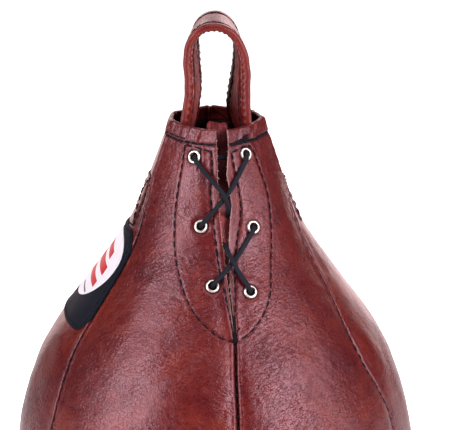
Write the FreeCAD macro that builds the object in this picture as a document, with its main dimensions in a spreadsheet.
import FreeCAD, Part
import Sketcher
import math
import os

# Laced leather speed bag, about 408 mm tall with its hanging loop and 255 mm
# across.  Six leather gores over a cloth lining are laced shut over a throat
# slit at the front, around an air bladder.
#
# Frame: Z is up and the front is -Y, right is +X.  Every shape is built with
# z = 0 at the neck's rim and the slit facing -Y.  The finished pieces are then
# lowered so that the origin is the middle of the hanging eye, and the bag's
# own pieces are turned by lace_turn about Z, a slight twist against the loop.
#
# "Drop" is a distance below the rim, "depth" a distance under the outside
# surface, and an angle is measured about Z from the slit, positive to +X.

V = FreeCAD.Vector
doc = FreeCAD.newDocument("speed_bag")

# ---------------------------------------------------------------- dimensions
DIMS = [
    # Outside profile: straight neck, hollow flare, cone, shoulder, equator
    # band, bilge and bottom.  A joint has a radius, a drop and the outward
    # normal there (out, up); a curved run has an arc radius.
    ("neck_radius", 28.5), ("neck_lean", 20.04),
    ("flare_joint", 46.042), ("flare_drop", 48.111), ("flare_out", 0.93945), ("flare_up", 0.34268),
    ("cone_joint", 67.740), ("cone_drop", 88.601), ("cone_out", 0.80560), ("cone_up", 0.59247),
    ("shoulder_joint", 94.389), ("shoulder_drop", 124.837),
    ("equator_radius", 127.532), ("equator_top", 225.846), ("equator_low", 240.0),
    ("bilge_joint", 94.940), ("bilge_drop", 308.390), ("bilge_out", 0.62932), ("bilge_up", -0.77715),
    ("flare_arc", 162.109), ("shoulder_arc", 170.493),
    ("bilge_arc", 88.0), ("bottom_arc", 150.80), ("bottom_centre", 191.185),
    ("pole_gap", 1.2),
    # layers: out and in are depths of the two faces, top and low are drops
    ("leather", 1.2), ("hem_depth", 2.2), ("hem_height", 9.0),
    ("lining_out", 1.25), ("lining_in", 1.75), ("lining_top", 9.6),
    ("facing_out", 1.80), ("facing_in", 3.00), ("facing_top", 9.8),
    ("tongue_out", 8.6), ("tongue_in", 9.8), ("tongue_blank_top", 12.0),
    ("bladder_out", 2.2), ("bladder_in", 2.9), ("bladder_top", 88.0), ("bladder_join", 165.0),
    ("bladder_mouth", 4.0),
    # gores: sweep angles, and half the gap at each seam, in degrees
    ("front_angle", 63.84), ("side_angle", 57.84), ("back_angle", 57.84), ("seam_gap", 0.08),
    ("lace_turn", 7.0),
    # throat slit, tapering from its straight part to its end
    ("slit_half", 3.2), ("slit_straight", 58.0), ("slit_end", 82.0), ("slit_end_half", 0.35),
    ("slit_over", 5.0),
    # facing outline
    ("facing_cut_top", 9.0), ("facing_setback", 0.3), ("facing_tip_half", 0.6),
    ("facing_top_half", 24.0), ("facing_side_half", 32.5), ("facing_side_drop", 55.0),
    ("facing_tip_drop", 120.0), ("facing_arc", 106.0), ("facing_trim", 6.0),
    # tongue outline
    ("tongue_top", 15.0), ("tongue_low", 112.0), ("tongue_half", 21.0),
    ("tongue_top_half", 12.0), ("tongue_side_drop", 50.0), ("tongue_corner", 10.0),
    # eyelets
    ("left_top_angle", -28.9), ("left_top_drop", 17.3),
    ("right_top_angle", 26.4), ("right_top_drop", 16.4),
    ("left_middle_angle", -17.2), ("left_middle_drop", 56.8),
    ("right_middle_angle", 20.8), ("right_middle_drop", 58.5),
    ("left_low_angle", -8.3), ("left_low_drop", 88.9),
    ("right_low_angle", 10.6), ("right_low_drop", 92.6),
    ("eyelet_outer", 4.2), ("eyelet_hole", 2.4), ("eyelet_barrel", 2.7), ("eyelet_bore", 2.8),
    ("eyelet_height", 0.85),
    ("lace_radius", 1.4),
    # label patch and its oval field; out and in are heights above the leather
    ("label_out", 0.80), ("label_in", 0.05), ("label_top", 69.5), ("label_low", 127.5),
    ("label_half", 43.0), ("label_turn", -94.0), ("label_round", 9.0),
    ("label_blank_top", 40.0), ("label_trim", 0.84),
    ("field_out", 1.35), ("field_in", 0.85), ("field_wide", 27.0), ("field_tall", 20.0),
    ("field_drop", 97.5),
    # hanging loop
    ("loop_outer", 22.0), ("loop_inner", 16.5), ("loop_width", 33.0), ("eye_centre", 44.0),
    ("loop_skin", 1.6), ("loop_rim", 1.7), ("loop_window", 11.0), ("loop_gap", 0.05),
    ("loop_roll", 2.0), ("window_lap", 0.2), ("loop_over", 1.0),
    ("leg_end", 8.5),
    ("tail_top", -1.5), ("tail_low", 62.0), ("tail_out_top", 19.3), ("tail_out_low", 45.6),
    ("tail_thick", 5.5), ("tail_half", 15.8),
    ("patch_top", 30.0), ("patch_low", 67.0), ("patch_thick", 1.5), ("patch_half", 17.5),
    ("patch_gap", 0.15),
    # valve
    ("valve_stem", 3.95), ("valve_flange", 9.0), ("valve_bore", 1.55), ("valve_core", 1.5),
    ("valve_rise", 9.0), ("valve_depth", 14.0), ("valve_sink", 0.25),
    ("valve_tip", 4.5), ("valve_root", 5.5), ("valve_rim", 1.0), ("valve_root_rise", 2.0),
    ("core_low", 1.0), ("core_short", 3.0),
]


def text_of(value):
    """Expression text of a Size or of a plain number."""
    return value.text if isinstance(value, Size) else "(%.5f)" % value


class Size(float):
    """A number that carries the spreadsheet expression it comes from."""

    def __new__(cls, value, text):
        size = super().__new__(cls, value)
        size.text = text
        return size

    def __neg__(self):
        return Size(-float(self), "(-%s)" % self.text)

    def __add__(self, other):
        return Size(float(self) + float(other), "(%s + %s)" % (self.text, text_of(other)))

    def __sub__(self, other):
        return Size(float(self) - float(other), "(%s - %s)" % (self.text, text_of(other)))

    def __mul__(self, other):
        return Size(float(self) * float(other), "(%s * %s)" % (self.text, text_of(other)))

    def __rmul__(self, other):
        return self * other

    def __truediv__(self, other):
        return Size(float(self) / float(other), "(%s / %s)" % (self.text, text_of(other)))


def other_leg(longest, side):
    """The third side of a right triangle, from its longest side and another."""
    return Size(math.sqrt(longest ** 2 - side ** 2),
                "sqrt(%s^2 - %s^2)" % (longest.text, side.text))


class Values:
    """Dimensions by name."""


dims = Values()      # Sizes, for whatever is bound to the spreadsheet
num = Values()       # the same as plain numbers, for calculations
sheet = doc.addObject("Spreadsheet::Sheet", "dims")
for row, (alias, value) in enumerate(DIMS, start=1):
    sheet.set("A%d" % row, alias)
    sheet.set("B%d" % row, repr(value))
    sheet.setAlias("B%d" % row, alias)
doc.recompute()
for alias, value in DIMS:
    value = float(sheet.get(alias))
    setattr(num, alias, value)
    setattr(dims, alias, Size(value, "dims." + alias))


def bind(obj, prop, value):
    """Sets a property, with its expression when the value has one."""
    setattr(obj, prop, float(value))
    if isinstance(value, Size):
        obj.setExpression(prop, value.text)


# ------------------------------------------------------- profile mathematics
LEAN = math.radians(num.neck_lean)
LEAN_TAN = Size(math.tan(LEAN), "tan(dims.neck_lean)")
LEAN_COS = Size(math.cos(LEAN), "cos(dims.neck_lean)")

# how each joint is reached from the one above it
RUNS = ["line", "flare", "line", "shoulder", "line", "bilge", "bottom"]


def neck_point(drop, depth):
    """Point (radius, drop) on the straight neck, at a depth under the skin."""
    return dims.neck_radius + drop * LEAN_TAN - depth / LEAN_COS, drop


def joints(depth):
    """Joints (radius, drop) of the profile below the neck, at a depth."""
    pole = dims.bottom_centre + other_leg(dims.bottom_arc - depth, dims.pole_gap)
    return [
        (dims.flare_joint - depth * dims.flare_out, dims.flare_drop + depth * dims.flare_up),
        (dims.cone_joint - depth * dims.cone_out, dims.cone_drop + depth * dims.cone_up),
        (dims.shoulder_joint - depth * dims.cone_out, dims.shoulder_drop + depth * dims.cone_up),
        (dims.equator_radius - depth, dims.equator_top),
        (dims.equator_radius - depth, dims.equator_low),
        (dims.bilge_joint - depth * dims.bilge_out, dims.bilge_drop + depth * dims.bilge_up),
        (dims.pole_gap, pole),
    ]


def arcs(depth):
    """Each curved run's centre (radius, drop) and its arc radius at a depth."""
    return {
        "flare": (num.flare_joint + num.flare_arc * num.flare_out,
                  num.flare_drop - num.flare_arc * num.flare_up,
                  dims.flare_arc + depth),
        "shoulder": (num.equator_radius - num.shoulder_arc, num.equator_top,
                     dims.shoulder_arc - depth),
        "bilge": (num.equator_radius - num.bilge_arc, num.equator_low, dims.bilge_arc - depth),
        "bottom": (0.0, num.bottom_centre, dims.bottom_arc - depth),
    }


def skin(drop):
    """Radius and outward normal (out, up) of the outside, above the equator."""
    if drop <= num.flare_drop:
        return num.neck_radius + drop * math.tan(LEAN), math.cos(LEAN), math.sin(LEAN)
    if drop <= num.cone_drop:
        centre, centre_drop, arc = arcs(0)["flare"]
        radius = centre - math.sqrt(arc ** 2 - (drop - centre_drop) ** 2)
        return radius, (centre - radius) / arc, (drop - centre_drop) / arc
    if drop <= num.shoulder_drop:
        part = (drop - num.cone_drop) / (num.shoulder_drop - num.cone_drop)
        radius = num.cone_joint + part * (num.shoulder_joint - num.cone_joint)
        return radius, num.cone_out, num.cone_up
    centre, centre_drop, arc = arcs(0)["shoulder"]
    radius = centre + math.sqrt(arc ** 2 - (drop - centre_drop) ** 2)
    return radius, (radius - centre) / arc, (centre_drop - drop) / arc


def on_skin(angle, drop, height):
    """Point at a height above the outside, angle in degrees from the slit."""
    radius, out, up = skin(drop)
    turn = math.radians(angle)
    reach = radius + height * out
    return V(reach * math.sin(turn), -reach * math.cos(turn), -drop + height * up)


def skin_placement(angle, drop, height):
    """Placement on the skin with its Z axis along the outward normal."""
    out, up = skin(drop)[1:]
    turn = math.radians(angle)
    normal = V(out * math.sin(turn), -out * math.cos(turn), up)
    return FreeCAD.Placement(on_skin(angle, drop, height), FreeCAD.Rotation(V(0, 0, 1), normal))


# ---------------------------------------------------------- sketches, bodies
class Outline:
    """Closed outline of lines and arcs, every corner and radius dimensioned."""

    def __init__(self, sketch, x, y):
        self.sketch = sketch
        self.start = self.here = (x, y)
        self.first = None     # (geometry index, position) where the outline starts
        self.last = None      # and where its open end is

    def _constrain(self, *arguments):
        """Adds a constraint whose last argument is a bound value."""
        value = arguments[-1]
        index = self.sketch.addConstraint(
            Sketcher.Constraint(*arguments[:-1], float(value)))
        self.sketch.setExpression("Constraints[%d]" % index, text_of(value))

    def _extend(self, index, start_pos, end_pos, x, y):
        """Joins new geometry to the open end and fixes its far end at x, y."""
        if self.first is None:
            self.first = (index, start_pos)
        else:
            self.sketch.addConstraint(
                Sketcher.Constraint("Coincident", *self.last, index, start_pos))
        self.last = (index, end_pos)
        for kind, value, axis in (("DistanceX", x, -2), ("DistanceY", y, -1)):
            if value == 0:
                # a zero distance is held by putting the point on the axis
                self.sketch.addConstraint(
                    Sketcher.Constraint("PointOnObject", index, end_pos, axis))
            else:
                self._constrain(kind, -1, 1, index, end_pos, value)
        self.here = (x, y)

    def line(self, x, y):
        segment = Part.LineSegment(V(self.here[0], self.here[1], 0), V(x, y, 0))
        self._extend(self.sketch.addGeometry(segment, False), 1, 2, x, y)

    def arc(self, x, y, centre_x, centre_y, radius):
        """Adds the shorter arc about a centre from the open end to x, y."""
        start = math.atan2(self.here[1] - centre_y, self.here[0] - centre_x)
        end = math.atan2(y - centre_y, x - centre_x)
        turn = (end - start) % (2 * math.pi)
        circle = Part.Circle(V(centre_x, centre_y, 0), V(0, 0, 1), float(radius))
        if turn <= math.pi:
            piece = Part.ArcOfCircle(circle, start, start + turn)
            start_pos, end_pos = 1, 2
        else:
            piece = Part.ArcOfCircle(circle, end, end + (2 * math.pi - turn))
            start_pos, end_pos = 2, 1
        index = self.sketch.addGeometry(piece, False)
        self._extend(index, start_pos, end_pos, x, y)
        self._constrain("Radius", index, radius)

    def profile(self, run, point, depth):
        """Adds a run of the bag's profile to (radius, drop); x is minus radius."""
        radius, drop = point
        if run == "line":
            self.line(-radius, -drop)
        else:
            centre, centre_drop, arc = arcs(depth)[run]
            self.arc(-radius, -drop, -centre, -centre_drop, arc)

    def close(self):
        self.line(*self.start)
        self.sketch.addConstraint(Sketcher.Constraint("Coincident", *self.last, *self.first))


def polygon(sketch, points):
    outline = Outline(sketch, *points[0])
    for point in points[1:]:
        outline.line(*point)
    outline.close()


def new_body(name):
    return doc.addObject("PartDesign::Body", name)


def new_sketch(body, name, role):
    """Sketch on one of the body's origin planes."""
    plane = next(f for f in body.Origin.OriginFeatures if f.Role == role)
    sketch = body.newObject("Sketcher::SketchObject", name)
    sketch.AttachmentSupport = [(plane, "")]
    sketch.MapMode = "FlatFace"
    return sketch


def revolve(body, sketch, angle, reverse=False, middle=False):
    turn = body.newObject("PartDesign::Revolution", body.Name + "_turn")
    turn.Profile = sketch
    turn.ReferenceAxis = (sketch, ["V_Axis"])
    bind(turn, "Angle", angle)
    turn.Midplane = middle
    turn.Reversed = reverse
    body.Tip = turn


def pad(body, sketch, length):
    """Pads a sketch equally to both sides of its plane."""
    feature = body.newObject("PartDesign::Pad", sketch.Name + "_pad")
    feature.Profile = sketch
    bind(feature, "Length", length)
    feature.Midplane = True
    body.Tip = feature
    doc.recompute()
    return feature


def pocket(body, sketch, length=None):
    """Cuts through all on the -Y side, or a length centred on the plane."""
    doc.recompute()
    before = body.Shape.Volume
    cut = body.newObject("PartDesign::Pocket", sketch.Name + "_cut")
    cut.Profile = sketch
    if length is None:
        cut.Type = 1
        cut.Reversed = True
    else:
        bind(cut, "Length", length)
        cut.Midplane = True
    body.Tip = cut
    doc.recompute()
    if not body.Shape.Volume < before - 0.5:
        raise RuntimeError("pocket cut nothing in " + body.Label)


KEEP = []                     # (object, node name)
LOWERED = V(0, 0, -num.eye_centre)
STRAIGHT = FreeCAD.Placement(LOWERED, FreeCAD.Rotation())


def turned(extra=0.0):
    return FreeCAD.Placement(LOWERED, FreeCAD.Rotation(V(0, 0, 1), num.lace_turn + extra))


def keep(obj, name):
    obj.Label = name
    KEEP.append((obj, name))


# --------------------------------------------------------------- bag layers
# rectangle that surrounds every trimmed outline
FRAME_HALF, FRAME_TOP, FRAME_LOW = 140, 20, -400


def shell(name, outer, inner, top, angle, hem=False, reverse=False, middle=False):
    """Body that follows the bag's profile between two depths, from a drop down."""
    body = new_body(name)
    sketch = new_sketch(body, name + "_profile", "YZ_Plane")
    radius, drop = neck_point(top, outer)
    outline = Outline(sketch, -radius, -drop)
    for run, joint in zip(RUNS, joints(outer)):
        outline.profile(run, joint, outer)
    # across at the pole, then back up the inside
    for run, joint in zip(["line"] + RUNS[:0:-1], joints(inner)[::-1]):
        outline.profile(run, joint, inner)
    if hem:
        # the rim is turned in and sewn down, so the top band is double leather
        ends = [(dims.hem_height, inner), (dims.hem_height, dims.hem_depth), (0, dims.hem_depth)]
    else:
        ends = [(top, inner)]
    for drop, depth in ends:
        outline.profile("line", neck_point(drop, depth), depth)
    outline.close()
    revolve(body, sketch, angle, reverse, middle)
    return body


def trim_sketch(body):
    """Sketch with the frame; an outline added inside it is what a pocket leaves."""
    doc.recompute()
    sketch = new_sketch(body, body.Name + "_outline", "XZ_Plane")
    polygon(sketch, [(-FRAME_HALF, FRAME_TOP), (-FRAME_HALF, FRAME_LOW),
                     (FRAME_HALF, FRAME_LOW), (FRAME_HALF, FRAME_TOP)])
    return sketch


def cut_slit(body):
    sketch = new_sketch(body, body.Name + "_slit", "XZ_Plane")
    polygon(sketch, [
        (-dims.slit_half, dims.slit_over), (-dims.slit_half, -dims.slit_straight),
        (-dims.slit_end_half, -dims.slit_end), (dims.slit_end_half, -dims.slit_end),
        (dims.slit_half, -dims.slit_straight), (dims.slit_half, dims.slit_over)])
    pocket(body, sketch)


# Gores: three to each side, in leather and in lining.
gores = {}
for sign, side in ((1, "right"), (-1, "left")):
    start = 0.0
    for place, sweep in (("front", dims.front_angle), ("side", dims.side_angle),
                         ("back", dims.back_angle)):
        name = place + "_" + side
        panel = shell("panel_" + name, 0, dims.leather, 0, sweep, hem=True, reverse=sign < 0)
        if place == "front":
            cut_slit(panel)
        lining = shell("lining_" + name, dims.lining_out, dims.lining_in, dims.lining_top,
                       sweep, reverse=sign < 0)
        if place == "front":
            cut_slit(lining)
        for body in (panel, lining):
            body.Placement = turned(sign * (start + num.seam_gap))
            gores[body.Name] = body
        start += float(sweep) + 2 * num.seam_gap
doc.recompute()


def facing(name, sign):
    """Half-teardrop leather piece beside the slit, inside the lining."""
    body = shell("facing_" + name, dims.facing_out, dims.facing_in, dims.facing_top,
                 dims.front_angle - dims.facing_trim, reverse=sign < 0)
    sketch = trim_sketch(body)
    slit_x = sign * (dims.slit_half + dims.facing_setback)
    side_x = sign * dims.facing_side_half
    tip_x = sign * dims.facing_tip_half
    outline = Outline(sketch, slit_x, -dims.facing_cut_top)
    outline.line(sign * dims.facing_top_half, -dims.facing_cut_top)
    outline.line(side_x, -dims.facing_side_drop)
    # bulging edge down to the tip, its centre on the slit's side
    run_x = float(tip_x) - float(side_x)
    run_y = num.facing_side_drop - num.facing_tip_drop
    half = math.hypot(run_x, run_y) / 2
    part = sign * math.sqrt(num.facing_arc ** 2 - half ** 2) / (2 * half)
    centre_x = (float(side_x) + float(tip_x)) / 2 + run_y * part
    centre_y = -(num.facing_side_drop + num.facing_tip_drop) / 2 - run_x * part
    outline.arc(tip_x, -dims.facing_tip_drop, centre_x, centre_y, dims.facing_arc)
    outline.line(tip_x, -(dims.slit_end + 1))
    outline.line(slit_x, -dims.slit_straight)
    outline.close()
    pocket(body, sketch)
    body.Placement = turned()
    return body


facings = {"left": facing("left", -1), "right": facing("right", 1)}


def make_tongue():
    """Loose leather flap between the lacing and the bladder."""
    sweep = 80.0
    body = shell("tongue", dims.tongue_out, dims.tongue_in, dims.tongue_blank_top, sweep,
                 middle=True)
    sketch = trim_sketch(body)
    half, low, corner = dims.tongue_half, dims.tongue_low, dims.tongue_corner
    polygon(sketch, [
        (-dims.tongue_top_half, -dims.tongue_top), (-half, -dims.tongue_side_drop),
        (-half, -(low - corner)), (-(half - corner), -low),
        (half - corner, -low), (half, -(low - corner)),
        (half, -dims.tongue_side_drop), (dims.tongue_top_half, -dims.tongue_top)])
    pocket(body, sketch)
    body.Placement = turned()
    return body


tongue = make_tongue()
doc.recompute()

# ----------------------------------------------------------------- eyelets
# (angle, drop) of each side's eyelets, from the top one down
EYES = {side: [(getattr(num, "%s_%s_angle" % (side, level)),
                getattr(num, "%s_%s_drop" % (side, level)))
               for level in ("top", "middle", "low")]
        for side in ("left", "right")}
DRILL_LENGTH, DRILL_START = 12, -9.0

punches = {}
for side, eyes in EYES.items():
    drills = []
    for letter, (angle, drop) in zip("abc", eyes):
        drill = doc.addObject("Part::Cylinder", "drill_" + side[0] + letter)
        bind(drill, "Radius", dims.eyelet_bore)
        drill.Height = DRILL_LENGTH
        drill.Placement = turned().multiply(skin_placement(angle, drop, DRILL_START))
        drills.append(drill)
    punches[side] = doc.addObject("Part::MultiFuse", "punch_" + side[0])
    punches[side].Shapes = drills
doc.recompute()

for side in ("left", "right"):
    for kind, blank, name in (
            ("panel", gores["panel_front_" + side], "panel_front_" + side),
            ("lining", gores["lining_front_" + side], "lining_front_" + side),
            ("facing", facings[side], "lacing_facing_" + side)):
        cut = doc.addObject("Part::Cut", kind + "_punched_" + side)
        cut.Base = blank
        cut.Tool = punches[side]
        keep(cut, name)
        blank.Label = blank.Name + "_blank"
for name in ("side_right", "back_right", "side_left", "back_left"):
    for kind in ("panel_", "lining_"):
        keep(gores[kind + name], kind + name)
keep(tongue, "lacing_tongue")
doc.recompute()

WASHER_SEAT = -(num.facing_in + 0.45)      # height of the washer's outward face
WASHER_THICK = 0.5
WASHER_PLAY = 0.06


def eyelet():
    """Domed flange outside, thin barrel, rolled end inside; axis along Z."""
    hole, barrel, outer = num.eyelet_hole, num.eyelet_barrel, num.eyelet_outer
    top = num.eyelet_height
    hole_edge, flange_edge, flange_under = top - 0.35, 0.30, 0.06
    roll_start, roll_edge = WASHER_SEAT - 0.55, WASHER_SEAT - 0.62
    roll_low, roll_end = WASHER_SEAT - 1.05, WASHER_SEAT - 0.95
    roll_wide = 0.5

    def line(start, end):
        return Part.makeLine(V(start[0], 0, start[1]), V(end[0], 0, end[1]))

    def arc(*points):
        return Part.Arc(*[V(radius, 0, z) for radius, z in points]).toShape()

    section = Part.Wire([
        line((hole, roll_end), (hole, hole_edge)),
        arc((hole, hole_edge), ((hole + outer) / 2, top), (outer, flange_edge)),
        line((outer, flange_edge), (outer, flange_under)),
        line((outer, flange_under), (barrel, flange_under)),
        line((barrel, flange_under), (barrel, roll_start)),
        line((barrel, roll_start), (barrel + roll_wide, roll_edge)),
        arc((barrel + roll_wide, roll_edge), (barrel + roll_wide / 2, roll_low),
            (hole, roll_end)),
    ])
    return Part.Face(section).revolve(V(0, 0, 0), V(0, 0, 1), 360)


def washer():
    low = V(0, 0, WASHER_SEAT - WASHER_THICK)
    disc = Part.makeCylinder(num.eyelet_outer, WASHER_THICK, low)
    return disc.cut(Part.makeCylinder(num.eyelet_barrel + WASHER_PLAY, WASHER_THICK, low))


for name, master in (("eyelets", eyelet()), ("eyelet_washers", washer())):
    solids = []
    for angle, drop in EYES["left"] + EYES["right"]:
        copy = master.copy()
        copy.Placement = skin_placement(angle, drop, 0.0)
        solids += copy.Solids
    obj = doc.addObject("Part::Feature", name)
    obj.Shape = Part.makeCompound(solids)
    obj.Placement = turned()
    keep(obj, name)

# -------------------------------------------------------------------- lace
# One cord, from a cut end inside: up through the left low eyelet, across to
# the right middle one, behind the right flap and out of the slit, across to
# the left top one, behind to the right top one, down across to the left
# middle one, behind the left flap, out of the slit and into the right low one.
# Its points are (angle, drop, height above the skin).
BY_HOLE = 2.45                # height just outside an eyelet
ACROSS = 1.9                  # height of a strand over the leather
INSIDE = -6.3                 # height of a strand behind the flaps
STRAND_END = 0.16             # part of a strand left free at each end


def step(start, end, distance):
    """Angle and drop a given distance from one skin point towards another."""
    part = distance / (on_skin(*end[:2], 0) - on_skin(*start[:2], 0)).Length
    return (start[0] + (end[0] - start[0]) * part, start[1] + (end[1] - start[1]) * part)


def through(hole, inside, outside, inward):
    """Points that carry the cord through an eyelet, square to the leather."""
    inner = step(hole, inside, 2.6)
    outer = step(hole, outside, 2.5)
    points = [(*outer, BY_HOLE), (*hole, 0.55), (*hole, -1.9), (*hole, -4.3), (*inner, INSIDE)]
    return points if inward else points[::-1]


def strand(start, end, count):
    """Evenly spaced points over the leather, clear of both eyelets."""
    points = []
    for n in range(count):
        part = STRAND_END + (1 - 2 * STRAND_END) * n / (count - 1)
        points.append((start[0] + (end[0] - start[0]) * part,
                       start[1] + (end[1] - start[1]) * part, ACROSS))
    return points


def lace_path():
    left_top, left_middle, left_low = EYES["left"]
    right_top, right_middle, right_low = EYES["right"]
    left_in = (left_low[0] + 0.6, left_low[1] + 8.0)
    path = [(left_low[0] + 1.5, left_low[1] + 15.0, INSIDE), (*left_in, INSIDE)]
    path += through(left_low, left_in, right_middle, inward=False)
    path += strand(left_low, right_middle, 4)
    path += through(right_middle, (right_middle[0] - 4, right_middle[1] - 3.5), left_low,
                    inward=True)
    # behind the right flap, out of the slit and up to the left
    path += [
        (14.8, 54.6, INSIDE), (8.6, 52.4, INSIDE),
        (4.2, 51.0, -5.8), (2.1, 49.4, -4.0), (1.7, 47.8, -1.0), (1.4, 46.2, 1.8),
        (0.5, 43.9, 4.4), (-1.8, 40.8, 5.5), (-4.8, 37.4, 5.2), (-9.8, 32.2, 3.8),
        (-16.5, 26.4, 2.9), (-22.5, 21.8, 2.55),
    ]
    path += through(left_top, right_top, (-8.0, 31.0), inward=True)
    # straight across behind the throat
    path += [
        (-20.0, 17.2, INSIDE), (-9.0, 16.9, INSIDE), (3.0, 16.8, INSIDE),
        (14.0, 16.6, INSIDE), (21.0, 16.5, INSIDE),
    ]
    path += through(right_top, (14.0, 16.6), left_middle, inward=False)
    path += strand(right_top, left_middle, 5)
    path += through(left_middle, (left_middle[0] + 5, left_middle[1] + 4), right_top,
                    inward=True)
    # behind the left flap, out of the slit and down to the right
    path += [
        (-9.5, 62.2, INSIDE), (-5.0, 64.6, INSIDE),
        (-1.9, 65.9, -5.2), (-0.9, 66.6, -2.4), (-0.5, 67.4, 0.7), (-0.1, 69.6, 3.7),
        (1.2, 74.2, 5.3), (3.6, 79.0, 4.3), (6.4, 84.6, 2.8),
    ]
    path += through(right_low, (right_low[0] + 0.2, right_low[1] + 8.0), (4.0, 80.0),
                    inward=True)
    path += [(right_low[0] + 0.2, right_low[1] + 8.5, INSIDE),
             (right_low[0] - 1.0, right_low[1] + 14.0, INSIDE)]
    return path


def make_lace():
    """Sweeps the cord in short runs that share end faces, joined to one solid."""
    spans = 6
    curve = Part.BSplineCurve()
    curve.interpolate([on_skin(*point) for point in lace_path()])
    knots = curve.getKnots()
    runs = []
    for n in range(0, len(knots) - 1, spans):
        end = min(n + spans, len(knots) - 1)
        ring = Part.makeCircle(num.lace_radius, curve.value(knots[n]),
                               curve.tangent(knots[n])[0])
        spine = Part.Wire([curve.toShape(knots[n], knots[end])])
        runs.append(spine.makePipeShell([Part.Wire([ring])], True, True))
    joined = runs[0].multiFuse(runs[1:])
    if len(joined.Solids) != 1:
        raise RuntimeError("the lace is not one solid")
    cord = joined.Solids[0]
    if abs(cord.Volume - sum(run.Volume for run in runs)) > 1.0:
        raise RuntimeError("the lace runs through itself")
    return cord


lace = doc.addObject("Part::Feature", "lace")
lace.Shape = make_lace()
lace.Placement = turned()
keep(lace, "lace")


def make_bar_tack():
    """Thread knot over the front seam, just above the tips of the facings."""
    # the long side lies along the seam
    wide, tall, thick, rounding = 2.4, 5.6, 1.5, 0.6
    angle, drop, height = 1.0, 115.3, 0.12
    solid = Part.makeBox(wide, tall, thick, V(-wide / 2, -tall / 2, 0))
    solid = solid.makeFillet(rounding, solid.Edges)
    solid.Placement = skin_placement(angle, drop, height)
    tack = doc.addObject("Part::Feature", "bar_tack")
    tack.Shape = solid
    tack.Placement = turned().multiply(tack.Placement)
    keep(tack, "bar_tack")


make_bar_tack()


# ------------------------------------------------------------- label patch
def patch(name, outer, inner, draw):
    """Piece standing on a side gore, trimmed to a drawn outline."""
    # negative depths stand proud of the leather
    body = shell(name, -outer, -inner, dims.label_blank_top,
                 dims.side_angle - dims.label_trim, middle=True)
    sketch = trim_sketch(body)
    draw(sketch)
    pocket(body, sketch)
    body.Placement = turned(num.label_turn)
    keep(body, name)


def draw_patch(sketch):
    """Rounded rectangle."""
    half, top, low, corner = dims.label_half, dims.label_top, dims.label_low, dims.label_round
    flat = half - corner
    upper, lower = -(top + corner), -(low - corner)
    outline = Outline(sketch, -flat, -top)
    outline.arc(-half, upper, -flat, upper, corner)
    outline.line(-half, lower)
    outline.arc(-flat, -low, -flat, lower, corner)
    outline.line(flat, -low)
    outline.arc(half, lower, flat, lower, corner)
    outline.line(half, upper)
    outline.arc(flat, -top, flat, upper, corner)
    outline.close()


def draw_field(sketch):
    """Oval."""
    oval = Part.Ellipse(V(0, -num.field_drop, 0), num.field_wide, num.field_tall)
    index = sketch.addGeometry(oval, False)
    sketch.exposeInternalGeometry(index)
    sketch.addConstraint(Sketcher.Constraint("Block", index))


patch("label_patch", dims.label_out, dims.label_in, draw_patch)
patch("label_field", dims.field_out, dims.field_in, draw_field)


# ------------------------------------------------------------ hanging loop
# The strap is a rolled leather cover over a webbing core, closed on the
# inside by a second leather strip.  It arches in XZ, its width along Y.
def arch_sketch(body, name, outer, inner, end):
    """Arch between two radii about the hanging eye, its legs ending at a height."""
    sketch = new_sketch(body, name, "XZ_Plane")
    eye = dims.eye_centre
    outline = Outline(sketch, outer, end)
    outline.line(outer, eye)
    # two quarter arcs make each half circle
    outline.arc(0, eye + outer, 0, eye, outer)
    outline.arc(-outer, eye, 0, eye, outer)
    outline.line(-outer, end)
    outline.line(-inner, end)
    outline.line(-inner, eye)
    outline.arc(0, eye + inner, 0, eye, inner)
    outline.arc(inner, eye, 0, eye, inner)
    outline.line(inner, end)
    outline.close()
    return sketch


CORE_OUTER = dims.loop_outer - dims.loop_skin
CORE_INNER = dims.loop_inner + dims.loop_skin
CORE_WIDTH = dims.loop_width - 2 * dims.loop_rim
WINDOW_WIDTH = 2 * dims.loop_window


def loop_cover():
    body = new_body("loop_cover")
    sketch = arch_sketch(body, "cover_band", dims.loop_outer, dims.loop_inner, dims.leg_end)
    band = pad(body, sketch, dims.loop_width)
    # the edges along both sides of the strap are rolled, not those of its ends
    edges = []
    for n, edge in enumerate(body.Shape.Edges, start=1):
        box = edge.BoundBox
        on_side = box.YLength < 1e-6 and abs(abs(box.YMin) - num.loop_width / 2) < 1e-6
        if on_side and not box.ZLength < 1e-6:
            edges.append("Edge%d" % n)
    roll = body.newObject("PartDesign::Fillet", "cover_roll")
    roll.Base = (band, edges)
    bind(roll, "Radius", dims.loop_roll)
    body.Tip = roll
    doc.recompute()
    # room for the webbing, then the window that the inner strip fills
    low = dims.leg_end - dims.loop_over
    sketch = arch_sketch(body, "cover_core", CORE_OUTER, CORE_INNER, low)
    pocket(body, sketch, CORE_WIDTH)
    sketch = arch_sketch(body, "cover_window", CORE_INNER + dims.window_lap,
                         dims.loop_inner - dims.loop_over, low)
    pocket(body, sketch, WINDOW_WIDTH)
    body.Placement = STRAIGHT
    keep(body, "loop_cover")


def arch_band(name, sketch_name, outer, inner, width):
    body = new_body(name)
    pad(body, arch_sketch(body, sketch_name, outer, inner, dims.leg_end), width)
    body.Placement = STRAIGHT
    keep(body, name)


loop_cover()
arch_band("loop_webbing", "webbing_band", CORE_OUTER - dims.loop_gap,
          CORE_INNER + dims.loop_gap, CORE_WIDTH - 2 * dims.loop_gap)
arch_band("loop_inner_strip", "strip_band", CORE_INNER, dims.loop_inner,
          WINDOW_WIDTH - 2 * dims.loop_gap)


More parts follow.
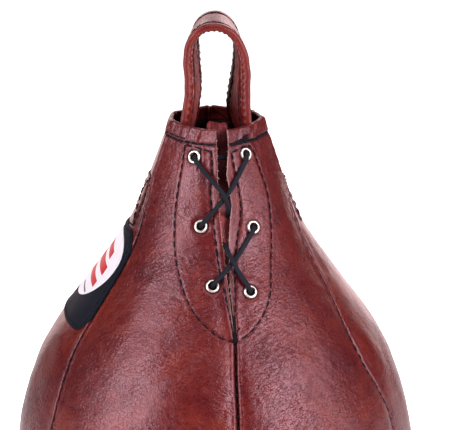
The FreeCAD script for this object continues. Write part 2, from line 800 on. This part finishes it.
def slab(name, side, top, low, depth, thick, half):
    """Slab leaning along the side of the neck, its depth below the tail's face."""
    body = new_body(name)
    sketch = new_sketch(body, name + "_section", "XZ_Plane")
    slope = (dims.tail_out_low - dims.tail_out_top) / (dims.tail_low - dims.tail_top)

    def corner(drop, inset):
        return side * (dims.tail_out_top + (drop - dims.tail_top) * slope - inset), -drop

    polygon(sketch, [corner(top, depth), corner(low, depth),
                     corner(low, depth + thick), corner(top, depth + thick)])
    pad(body, sketch, 2 * half)
    body.Placement = STRAIGHT
    keep(body, name)


# Strap ends run down inside the side gores, each with a patch on its inside.
for side, word in ((-1, "left"), (1, "right")):
    slab("loop_tail_" + word, side, dims.tail_top, dims.tail_low,
         0, dims.tail_thick, dims.tail_half)
    slab("anchor_patch_" + word, side, dims.patch_top, dims.patch_low,
         dims.tail_thick + dims.patch_gap, dims.patch_thick, dims.patch_half)


# ----------------------------------------------------------------- bladder
# a point (radius, drop) midway on the bladder's top arc, and how far each
# coordinate moves per millimetre of depth
DOME_MIDDLE, DOME_SHIFT = (62.0, 110.5), (-0.6, 0.8)


def circle_through(first, second, third):
    """Centre and radius of the circle through three points."""
    (ax, ay), (bx, by), (cx, cy) = first, second, third
    a_square, b_square, c_square = ax ** 2 + ay ** 2, bx ** 2 + by ** 2, cx ** 2 + cy ** 2
    scale = 2 * (ax * (by - cy) + bx * (cy - ay) + cx * (ay - by))
    x = (a_square * (by - cy) + b_square * (cy - ay) + c_square * (ay - by)) / scale
    y = (a_square * (cx - bx) + b_square * (ax - cx) + c_square * (bx - ax)) / scale
    return x, y, math.hypot(ax - x, ay - y)


def dome(depth, top):
    """Top arc's joint with the shoulder (radius, drop), and its circle."""
    depth = float(depth)
    radius, out, up = skin(num.bladder_join)
    join = (radius - depth * out, num.bladder_join + depth * up)
    middle = (DOME_MIDDLE[0] + depth * DOME_SHIFT[0], DOME_MIDDLE[1] + depth * DOME_SHIFT[1])
    return join, circle_through((num.bladder_mouth, float(top)), middle, join)


def make_bladder():
    body = new_body("bladder")
    sketch = new_sketch(body, "bladder_profile", "YZ_Plane")
    outer, inner, mouth = dims.bladder_out, dims.bladder_in, dims.bladder_mouth
    outer_joints, inner_joints = joints(outer), joints(inner)
    outer_low = dims.bottom_centre + other_leg(dims.bottom_arc - outer, mouth)
    inner_low = dims.bottom_centre + other_leg(dims.bottom_arc - inner, mouth)
    inner_top = dims.bladder_top + (inner - outer)

    # down the outside
    join, (centre, centre_drop, radius) = dome(outer, dims.bladder_top)
    outline = Outline(sketch, -mouth, -dims.bladder_top)
    outline.arc(-join[0], -join[1], -centre, -centre_drop, radius)
    outline.profile("shoulder", outer_joints[3], outer)
    outline.profile("line", outer_joints[4], outer)
    outline.profile("bilge", outer_joints[5], outer)
    outline.profile("bottom", (mouth, outer_low), outer)
    # a small flat nub closes the bottom pole
    outline.line(0, -outer_low)
    outline.line(0, -inner_low)
    outline.line(-mouth, -inner_low)
    # up the inside
    outline.profile("bottom", inner_joints[5], inner)
    outline.profile("bilge", inner_joints[4], inner)
    outline.profile("line", inner_joints[3], inner)
    join, (centre, centre_drop, radius) = dome(inner, inner_top)
    outline.profile("shoulder", join, inner)
    outline.arc(-mouth, -inner_top, -centre, -centre_drop, radius)
    outline.close()
    revolve(body, sketch, 360.0)
    body.Placement = turned()
    keep(body, "bladder")


def make_valve():
    """Rubber body seated in the bladder's mouth, with a core down its bore."""
    body = new_body("bladder_valve")
    sketch = new_sketch(body, "valve_profile", "YZ_Plane")
    seat = dims.bladder_top - dims.valve_sink
    polygon(sketch, [
        (-dims.valve_bore, -(seat - dims.valve_rise)),
        (-dims.valve_tip, -(seat - dims.valve_rise)),
        (-dims.valve_root, -(seat - dims.valve_root_rise)),
        (-dims.valve_flange, -(seat - dims.valve_rim)),
        (-dims.valve_flange, -seat),
        (-dims.valve_stem, -seat),
        (-dims.valve_stem, -(seat + dims.valve_depth)),
        (-dims.valve_bore, -(seat + dims.valve_depth))])
    revolve(body, sketch, 360.0)
    body.Placement = turned()
    keep(body, "bladder_valve")

    core = doc.addObject("Part::Cylinder", "valve_core")
    bind(core, "Radius", dims.valve_core)
    bind(core, "Height", dims.valve_depth + dims.valve_rise - dims.core_short)
    low = V(0, 0, -float(seat) - num.valve_depth + num.core_low)
    core.Placement = turned().multiply(FreeCAD.Placement(low, FreeCAD.Rotation()))
    keep(core, "valve_core")


make_bladder()
make_valve()
doc.recompute()

# ------------------------------------------------------------------- export
bad = []
for obj in doc.Objects:
    if "Invalid" in obj.State or "Error" in obj.State:
        bad.append(obj.Name + " " + str(obj.State))
for obj, name in KEEP:
    if obj.Shape.isNull() or not obj.Shape.isValid():
        bad.append(name + " has no valid shape")
    elif not obj.Shape.Solids:
        bad.append(name + " has no solid")
if bad:
    raise RuntimeError("; ".join(bad))

os.makedirs("parts", exist_ok=True)
for obj, name in KEEP:
    obj.Shape.exportStep("parts/%s.step" % name)
